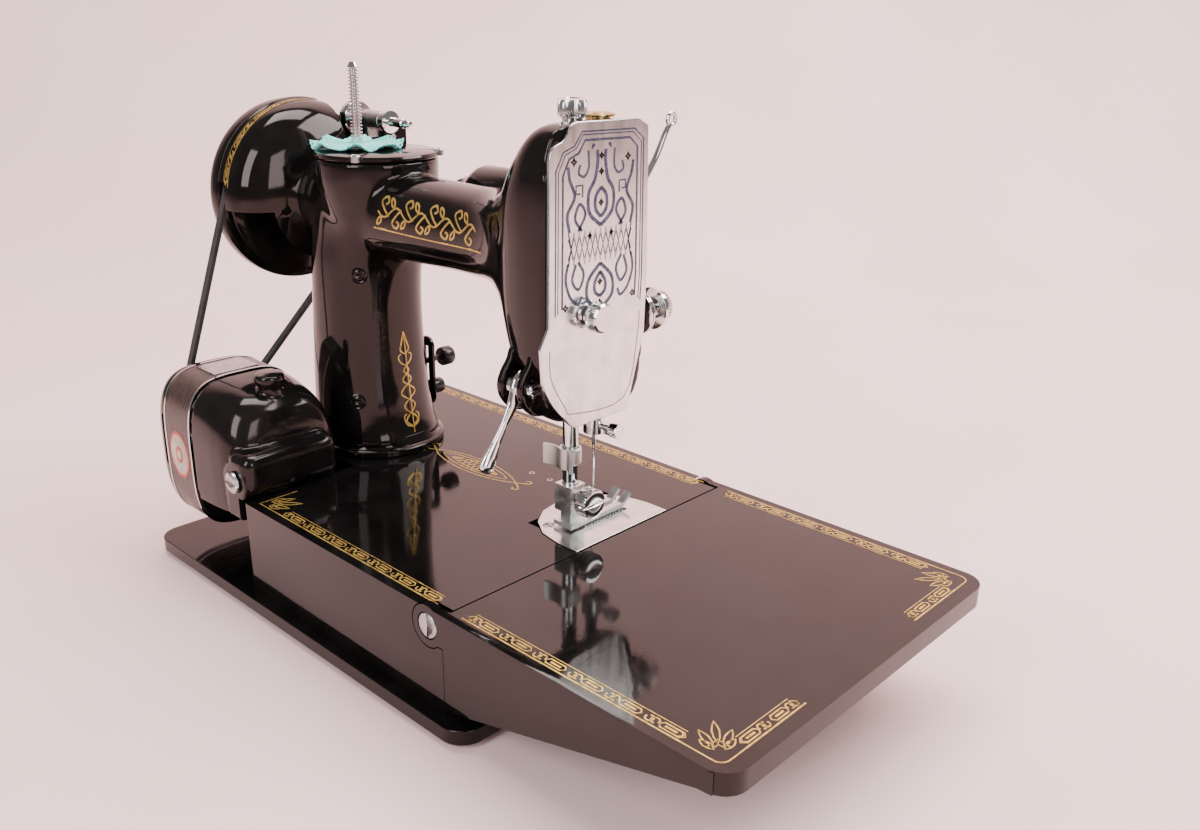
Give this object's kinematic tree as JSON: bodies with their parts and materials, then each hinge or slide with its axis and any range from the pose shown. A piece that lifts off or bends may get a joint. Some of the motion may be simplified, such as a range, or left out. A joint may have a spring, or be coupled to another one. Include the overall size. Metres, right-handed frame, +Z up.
{
  "type": "sewing machine",
  "caption": "Small portable electric lock-stitch sewing machine with folding bed leaf, side motor, belt drive, lamp and spool pin with a crocheted doily",
  "frame": {"origin": "middle of the machine's bounding box in plan, on the plane of the rubber feet", "axes": "+X from the leaf to the handwheel, -Y towards the operator, +Z up"},
  "size_m": [0.388, 0.1866, 0.2455],
  "materials": {
    "black_enamel": "gloss black stoved enamel, lightly worn",
    "motor_enamel": "semi-gloss black",
    "motor_band_paint": "dark brown satin with bright edges",
    "chrome": "polished",
    "steel": "satin",
    "brass": "satin",
    "rubber": "matt",
    "belt_rubber": "matt, slightly polished by wear",
    "crochet_yarn": "turquoise cotton crochet",
    "bulb_glass": "pearl",
    "dark_plastic": "gloss black phenolic"
  },
  "bodies": {
    "machine": {"drip_tray": "black_enamel", "bed_casting": "black_enamel", "arm_casting": "black_enamel", "arm_cover": "black_enamel", "lamp_shade": "black_enamel", "stitch_plate": "black_enamel", "winder_bracket": "black_enamel", "motor_housing": "motor_enamel", "motor_cover": "motor_enamel", "motor_band": "motor_band_paint", "needle_plate": "chrome", "bobbin_case": "chrome", "spool_pin": "chrome", "face_plate": "chrome", "face_plate_screw": "chrome", "tension_discs": "chrome", "leaf_screw_rear": "steel", "leaf_screw_front": "steel", "needle_plate_screw_rear": "steel", "needle_plate_screw_front": "steel", "cover_screw_1": "steel", "cover_screw_2": "steel", "tension_stud": "steel", "tension_spring": "steel", "motor_screw": "steel", "oil_cap": "brass", "rubber_foot_1": "rubber", "rubber_foot_2": "rubber", "rubber_foot_3": "rubber", "rubber_foot_4": "rubber", "drive_belt": "belt_rubber", "spool_doily": "crochet_yarn", "lamp_bulb": "bulb_glass", "stitch_stop_nut": "dark_plastic", "inlet_block": "dark_plastic"},
    "leaf": {"bed_leaf": "black_enamel"},
    "handwheel": {"handwheel": "black_enamel", "main_shaft": "steel"},
    "clutch": {"clutch_knob": "chrome"},
    "upright": {"upright_shaft": "steel"},
    "hook": {"hook_shaft": "steel", "rotating_hook": "chrome"},
    "bobbin": {"thread_bobbin": "steel"},
    "needle_bar": {"needle_bar": "chrome", "needle_clamp": "chrome", "sewing_needle": "chrome"},
    "take_up": {"take_up_lever": "chrome"},
    "tension_dial": {"tension_dial": "chrome"},
    "presser": {"presser_bar": "chrome", "presser_foot": "chrome", "foot_screw": "chrome", "thread_cutter": "chrome"},
    "lifter": {"lifter_lever": "chrome"},
    "pressure_screw": {"pressure_screw": "chrome"},
    "stitch_lever": {"stitch_lever": "dark_plastic"},
    "winder_arm": {"winder_arm": "steel"},
    "winder_spindle": {"winder_spindle": "chrome"},
    "lamp_switch": {"lamp_switch": "dark_plastic"},
    "motor_pulley": {"motor_pulley": "steel"},
    "feed": {"feed_dog": "steel"}
  },
  "joints": [
    {"name": "leaf_fold", "type": "hinge", "parent": "machine", "child": "leaf", "pos_m": [-0.0485, 0, 0.0454], "axis": [0, 1, 0], "range_deg": [0, 45]},
    {"name": "handwheel_spin", "type": "hinge", "parent": "machine", "child": "handwheel", "pos_m": [0.1523, -0.008, 0.1777], "axis": [1, 0, 0], "continuous": true},
    {"name": "upright_spin", "type": "hinge", "parent": "machine", "child": "upright", "pos_m": [0.1143, -0.008, 0.1135], "axis": [0, 0, 1], "continuous": true},
    {"name": "hook_spin", "type": "hinge", "parent": "machine", "child": "hook", "pos_m": [0.0423, -0.0165, 0.0305], "axis": [1, 0, 0], "continuous": true},
    {"name": "motor_spin", "type": "hinge", "parent": "machine", "child": "motor_pulley", "pos_m": [0.1523, 0.064, 0.0645], "axis": [1, 0, 0], "continuous": true},
    {"name": "clutch_turn", "type": "hinge", "parent": "handwheel", "child": "clutch", "pos_m": [0.1883, -0.008, 0.1777], "axis": [1, 0, 0], "range_deg": [-60, 0]},
    {"name": "bobbin_spin", "type": "hinge", "parent": "machine", "child": "bobbin", "pos_m": [-0.0467, -0.0165, 0.0305], "axis": [1, 0, 0], "continuous": true},
    {"name": "needle_bar_slide", "type": "slide", "parent": "machine", "child": "needle_bar", "axis": [0, 0, 1], "range_m": [-0.028, 0.0015]},
    {"name": "take_up_swing", "type": "hinge", "parent": "machine", "child": "take_up", "pos_m": [-0.0447, -0.012, 0.1925], "axis": [1, 0, 0], "range_deg": [0, 50]},
    {"name": "tension_turn", "type": "hinge", "parent": "machine", "child": "tension_dial", "pos_m": [-0.0437, -0.048, 0.147], "axis": [0, 1, 0], "range_deg": [-150, 150]},
    {"name": "lifter_swing", "type": "hinge", "parent": "machine", "child": "lifter", "pos_m": [-0.0377, 0.0275, 0.1265], "axis": [1, 0, 0], "range_deg": [0, 60]},
    {"name": "presser_lift", "type": "slide", "parent": "machine", "child": "presser", "axis": [0, 0, 1], "range_m": [0, 0.0065]},
    {"name": "pressure_turn", "type": "hinge", "parent": "machine", "child": "pressure_screw", "pos_m": [-0.0377, -0.0018, 0.2285], "axis": [0, 0, 1], "range_deg": [-180, 180]},
    {"name": "stitch_lever_swing", "type": "hinge", "parent": "machine", "child": "stitch_lever", "pos_m": [0.1063, -0.01, 0.091], "axis": [1, 0, 0], "range_deg": [-8, 8]},
    {"name": "winder_tilt", "type": "hinge", "parent": "machine", "child": "winder_arm", "pos_m": [0.1443, -0.046, 0.2055], "axis": [1, 0, 0], "range_deg": [0, 15]},
    {"name": "winder_spin", "type": "hinge", "parent": "winder_arm", "child": "winder_spindle", "pos_m": [0.1443, -0.036, 0.2145], "axis": [1, 0, 0], "continuous": true},
    {"name": "lamp_switch_turn", "type": "hinge", "parent": "machine", "child": "lamp_switch", "pos_m": [0.0723, -0.043, 0.1855], "axis": [1, 0, 0], "range_deg": [0, 90]},
    {"name": "feed_slide", "type": "slide", "parent": "machine", "child": "feed", "axis": [0, 1, 0], "range_m": [-0.002, 0.002]}
  ],
  "couplings": [
    {"joint": "upright_spin", "follows": "handwheel_spin", "ratio": 1},
    {"joint": "hook_spin", "follows": "handwheel_spin", "ratio": 2},
    {"joint": "motor_spin", "follows": "handwheel_spin", "ratio": 4.1},
    {"joint": "lifter_swing", "follows": "presser_lift", "rad_per_m": 161}
  ]
}
